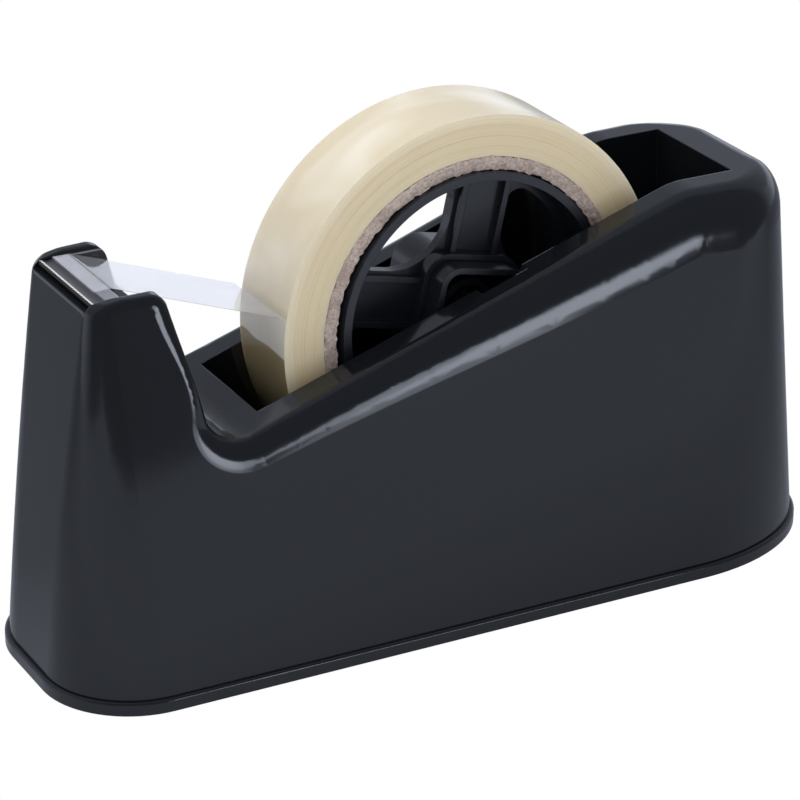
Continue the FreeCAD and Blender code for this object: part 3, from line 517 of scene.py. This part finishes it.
core_inner = 0.0382
core_outer = 0.04145
core_half = 0.0124
board_core = spun_ring("board_core", core_inner, core_outer, core_half, 5, 260)
bpy.ops.object.mode_set(mode="EDIT")
board = bmesh.from_edit_mesh(board_core.data)
for vert in board.verts:
    reach = math.hypot(vert.co.x - roll_centre.x, vert.co.z - roll_centre.z)
    vert.select = reach < core_inner + 1e-5 and abs(vert.co.y) > core_half - 1e-5
board.select_flush_mode()
bmesh.update_edit_mesh(board_core.data)
bpy.ops.transform.vertex_random(offset=0.00045, uniform=0.0, normal=0.0, seed=5)
bpy.ops.object.mode_set(mode="OBJECT")
bpy.ops.object.shade_smooth_by_angle(angle=math.radians(35))

core_board = bpy.data.materials.new("sawn_grey_pink_board")
core_board.use_nodes = True
tree = core_board.node_tree
board_face = tree.nodes["Principled BSDF"]
board_face.inputs["IOR"].default_value = 1.35
board_place = tree.nodes.new("ShaderNodeTexCoord")
fibres = tree.nodes.new("ShaderNodeTexNoise")
fibres.inputs["Scale"].default_value = 1500.0
fibres.inputs["Detail"].default_value = 5.0
fibres.inputs["Roughness"].default_value = 0.7
tree.links.new(board_place.outputs["Object"], fibres.inputs["Vector"])
clumps = tree.nodes.new("ShaderNodeTexNoise")
clumps.inputs["Scale"].default_value = 260.0
clumps.inputs["Detail"].default_value = 3.0
tree.links.new(board_place.outputs["Object"], clumps.inputs["Vector"])
fibre_shades = shades(tree, fibres.outputs["Fac"], (0.30, (0.32, 0.24, 0.21, 1.0)),
                      (0.62, (0.66, 0.56, 0.51, 1.0)))
clump_share = fade(tree, clumps.outputs["Fac"], 0.45, 0.70)
clump_mix = blended(tree, clump_share, fibre_shades, (0.80, 0.76, 0.74, 1.0), "MULTIPLY")
tree.links.new(clump_mix, board_face.inputs["Base Color"])
board_face.inputs["Roughness"].default_value = 0.95
board_relief = tree.nodes.new("ShaderNodeBump")
board_relief.inputs["Distance"].default_value = 0.00016
tree.links.new(fibres.outputs["Fac"], board_relief.inputs["Height"])
tree.links.new(board_relief.outputs["Normal"], board_face.inputs["Normal"])
board_core.data.materials.append(core_board)
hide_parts("tape_core")
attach(board_core, "wheel")


# --- Wound tape ---------------------------------------------------------------------------
# Clear film wound tight on the core: the cut sides show fine rings, the outside is cream
# where air is caught under the film and olive where the film lies wet on the next turn.
wound_inner = 0.04150
wound_outer = 0.0523
lit_rim_inner = 0.0485
wound_half = 0.01228
wound_tape = spun_ring("wound_tape", wound_inner, wound_outer, wound_half, 23, 220)
bpy.ops.object.mode_set(mode="EDIT")
bpy.ops.mesh.select_all(action="DESELECT")
turns = bmesh.from_edit_mesh(wound_tape.data)
rings = {}
for vert in turns.verts:
    reach = math.hypot(vert.co.x - roll_centre.x, vert.co.z - roll_centre.z)
    if wound_inner + 1e-5 < reach < wound_outer - 1e-5 and abs(vert.co.y) > wound_half - 1e-6:
        rings.setdefault((round(reach, 5), vert.co.y > 0), []).append(vert)
# the turns slip a little along the axle, by these millimetres from the core outwards
slips = (0.00, 0.05, 0.02, 0.09, 0.04, 0.00, 0.07, 0.03, 0.10, 0.05, 0.01, 0.06)
for index, key in enumerate(sorted(rings)):
    slip = slips[index % len(slips)] / 1000.0
    for vert in rings[key]:
        vert.co.y -= math.copysign(slip, vert.co.y)
bmesh.update_edit_mesh(wound_tape.data)
bpy.ops.object.mode_set(mode="OBJECT")
bpy.ops.object.shade_smooth_by_angle(angle=math.radians(35))

wound_film = bpy.data.materials.new("wound_clear_film")
wound_film.use_nodes = True
tree = wound_film.node_tree
film_face = tree.nodes["Principled BSDF"]
film_face.inputs["IOR"].default_value = 1.49
film_face.inputs["Coat Weight"].default_value = 0.12
film_face.inputs["Coat Roughness"].default_value = 0.22
film_face.inputs["Subsurface Weight"].default_value = 0.35
film_face.inputs["Subsurface Radius"].default_value = (1.0, 0.85, 0.55)
film_face.inputs["Subsurface Scale"].default_value = 0.004
roll_place = tree.nodes.new("ShaderNodeTexCoord")
about_axle = tree.nodes.new("ShaderNodeMapping")
about_axle.inputs["Location"].default_value = -roll_centre
tree.links.new(roll_place.outputs["Object"], about_axle.inputs["Vector"])
parts = tree.nodes.new("ShaderNodeSeparateXYZ")
tree.links.new(about_axle.outputs["Vector"], parts.inputs["Vector"])
flat = tree.nodes.new("ShaderNodeCombineXYZ")
tree.links.new(parts.outputs["X"], flat.inputs["X"])
tree.links.new(parts.outputs["Z"], flat.inputs["Z"])
reach = tree.nodes.new("ShaderNodeVectorMath")
reach.operation = "LENGTH"
tree.links.new(flat.outputs["Vector"], reach.inputs[0])
# fine rings on the cut side
turn_lines = tree.nodes.new("ShaderNodeTexNoise")
turn_lines.noise_dimensions = "1D"
turn_lines.inputs["Scale"].default_value = 2600.0
turn_lines.inputs["Detail"].default_value = 3.0
turn_lines.inputs["Roughness"].default_value = 0.7
tree.links.new(reach.outputs["Value"], turn_lines.inputs["W"])
side_shades = shades(tree, turn_lines.outputs["Fac"], (0.25, (0.70, 0.57, 0.35, 1.0)),
                     (0.75, (0.83, 0.72, 0.50, 1.0)))
# painted light: the outer turns let more light through, so the side is painted paler towards its
# rim
rim_light_share = fade(tree, reach.outputs["Value"], lit_rim_inner, wound_outer, 0.0, 0.6)
side_colour = blended(tree, rim_light_share, side_shades, (0.84, 0.78, 0.64, 1.0))
# angle round the roll, counted upwards from the front
turned = reckon(tree, "MULTIPLY", parts.outputs["X"], -1.0)
angle = reckon(tree, "ARCTAN2", parts.outputs["Z"], turned)
# air caught under the film: soft milky patches, stretched along the tape
long_patches = tree.nodes.new("ShaderNodeMapping")
long_patches.inputs["Scale"].default_value = (1.0, 1.6, 1.0)
tree.links.new(about_axle.outputs["Vector"], long_patches.inputs["Vector"])
air = tree.nodes.new("ShaderNodeTexNoise")
air.inputs["Scale"].default_value = 26.0
air.inputs["Detail"].default_value = 2.0
air.inputs["Distortion"].default_value = 0.6
tree.links.new(long_patches.outputs["Vector"], air.inputs["Vector"])
air_shades = shades(tree, air.outputs["Fac"], (0.38, (0.68, 0.60, 0.45, 1.0)),
                    (0.64, (0.80, 0.75, 0.64, 1.0)))
# a full layer of air is caught just under the line where the free tape leaves the roll
lift_angle = 0.175
lift_line = fade(tree, angle, lift_angle - 0.003, lift_angle + 0.003, 0.62, 0.0)
milky_band = blended(tree, lift_line, air_shades, (0.88, 0.86, 0.82, 1.0))
# the film wets out below a wavy line at the front of the roll
wave = tree.nodes.new("ShaderNodeTexNoise")
wave.inputs["Scale"].default_value = 60.0
wave.inputs["Detail"].default_value = 1.0
tree.links.new(about_axle.outputs["Vector"], wave.inputs["Vector"])
wave_size = reckon(tree, "MULTIPLY_ADD", wave.outputs["Fac"], 0.12, angle)
wet_angle = 0.036
wet_share = fade(tree, wave_size, wet_angle - 0.006, wet_angle + 0.006, 1.0, 0.0)
outer_colour = blended(tree, wet_share, milky_band, (0.38, 0.31, 0.18, 1.0))
# outside or cut side, by the face's own direction
facing = tree.nodes.new("ShaderNodeNewGeometry")
facing_parts = tree.nodes.new("ShaderNodeSeparateXYZ")
tree.links.new(facing.outputs["True Normal"], facing_parts.inputs["Vector"])
sideways = reckon(tree, "ABSOLUTE", facing_parts.outputs["Y"])
cut_side = reckon(tree, "GREATER_THAN", sideways, 0.5)
film_colour = blended(tree, cut_side, outer_colour, side_colour)
tree.links.new(film_colour, film_face.inputs["Base Color"])
film_gloss = fade(tree, cut_side, 0.0, 1.0, 0.16, 0.42)
tree.links.new(film_gloss, film_face.inputs["Roughness"])
ring_relief = tree.nodes.new("ShaderNodeBump")
ring_relief.inputs["Distance"].default_value = 0.00003
ring_height = tree.nodes.new("ShaderNodeMix")
tree.links.new(cut_side, ring_height.inputs["Factor"])
tree.links.new(air.outputs["Fac"], ring_height.inputs["A"])
tree.links.new(turn_lines.outputs["Fac"], ring_height.inputs["B"])
tree.links.new(ring_height.outputs["Result"], ring_relief.inputs["Height"])
tree.links.new(ring_relief.outputs["Normal"], film_face.inputs["Normal"])
wound_tape.data.materials.append(wound_film)
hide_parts("tape_roll")
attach(wound_tape, "wheel")


# --- Free tape ----------------------------------------------------------------------------
# The free end of the film leaves the front of the roll, runs a little skewed to the blade
# and sticks on its landing plate. It is one thin clear layer, glossy and slightly milky.
film_low, film_high = (Vector(corner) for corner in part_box("tape_strip"))
film_thickness = 0.00008
film_width = 0.0248
film_drift = 0.0029
landing_depth = 0.00455
roll_end_gap = 0.0004
roll_end_rise = 0.00025
landing_z = film_high.z - 0.00012
bpy.ops.object.select_all(action="DESELECT")
bpy.ops.mesh.primitive_plane_add(size=1.0, location=(0.0, 0.0, 0.0))
free_tape = bpy.context.object
free_tape.name = "free_tape"
free_tape.scale = (landing_depth, film_width, 1.0)
free_tape.location = (film_low.x + landing_depth / 2, film_drift, landing_z)
bpy.ops.object.transform_apply(location=True, rotation=True, scale=True)
bpy.ops.object.mode_set(mode="EDIT")
bpy.ops.mesh.select_mode(type="EDGE")
bpy.ops.mesh.select_all(action="DESELECT")
film = bmesh.from_edit_mesh(free_tape.data)
plate_edge = film_low.x + landing_depth - 1e-6
for edge in film.edges:
    edge.select = all(vert.co.x > plate_edge for vert in edge.verts)
film.select_flush_mode()
bmesh.update_edit_mesh(free_tape.data)
film_run = film_high.x - roll_end_gap - (film_low.x + landing_depth)
film_fall = landing_z - (film_low.z + roll_end_rise)
film_steps = 12
for _ in range(film_steps):
    bpy.ops.mesh.extrude_region_move(TRANSFORM_OT_translate={
        "value": (film_run / film_steps, -film_drift / film_steps, -film_fall / film_steps)})
bpy.ops.mesh.select_all(action="SELECT")
bpy.ops.mesh.subdivide(number_cuts=3)
bpy.ops.mesh.normals_make_consistent(inside=False)
bpy.ops.object.mode_set(mode="OBJECT")
film_body = free_tape.modifiers.new("thickness", "SOLIDIFY")
film_body.thickness = film_thickness
film_body.offset = 0.0
bpy.ops.object.modifier_apply(modifier=film_body.name)
bpy.ops.object.shade_smooth_by_angle(angle=math.radians(30))

clear_film = bpy.data.materials.new("clear_tape_film")
clear_film.use_nodes = True
tree = clear_film.node_tree
sheet = tree.nodes["Principled BSDF"]
sheet.inputs["IOR"].default_value = 1.50
sheet.inputs["Transmission Weight"].default_value = 0.90
film_place = tree.nodes.new("ShaderNodeTexCoord")
film_stretch = tree.nodes.new("ShaderNodeMapping")
film_stretch.inputs["Scale"].default_value = (0.35, 1.0, 0.35)
tree.links.new(film_place.outputs["Object"], film_stretch.inputs["Vector"])
film_wrinkles = tree.nodes.new("ShaderNodeTexNoise")
film_wrinkles.inputs["Scale"].default_value = 160.0
film_wrinkles.inputs["Detail"].default_value = 3.0
tree.links.new(film_stretch.outputs["Vector"], film_wrinkles.inputs["Vector"])
film_milk = shades(tree, film_wrinkles.outputs["Fac"], (0.35, (0.84, 0.86, 0.93, 1.0)),
                   (0.70, (0.90, 0.91, 0.97, 1.0)))
tree.links.new(film_milk, sheet.inputs["Base Color"])
film_shine = fade(tree, film_wrinkles.outputs["Fac"], 0.0, 1.0, 0.03, 0.10)
tree.links.new(film_shine, sheet.inputs["Roughness"])
film_relief = tree.nodes.new("ShaderNodeBump")
film_relief.inputs["Distance"].default_value = 0.00004
tree.links.new(film_wrinkles.outputs["Fac"], film_relief.inputs["Height"])
tree.links.new(film_relief.outputs["Normal"], sheet.inputs["Normal"])
free_tape.data.materials.append(clear_film)
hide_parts("tape_strip")
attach(free_tape, "base")
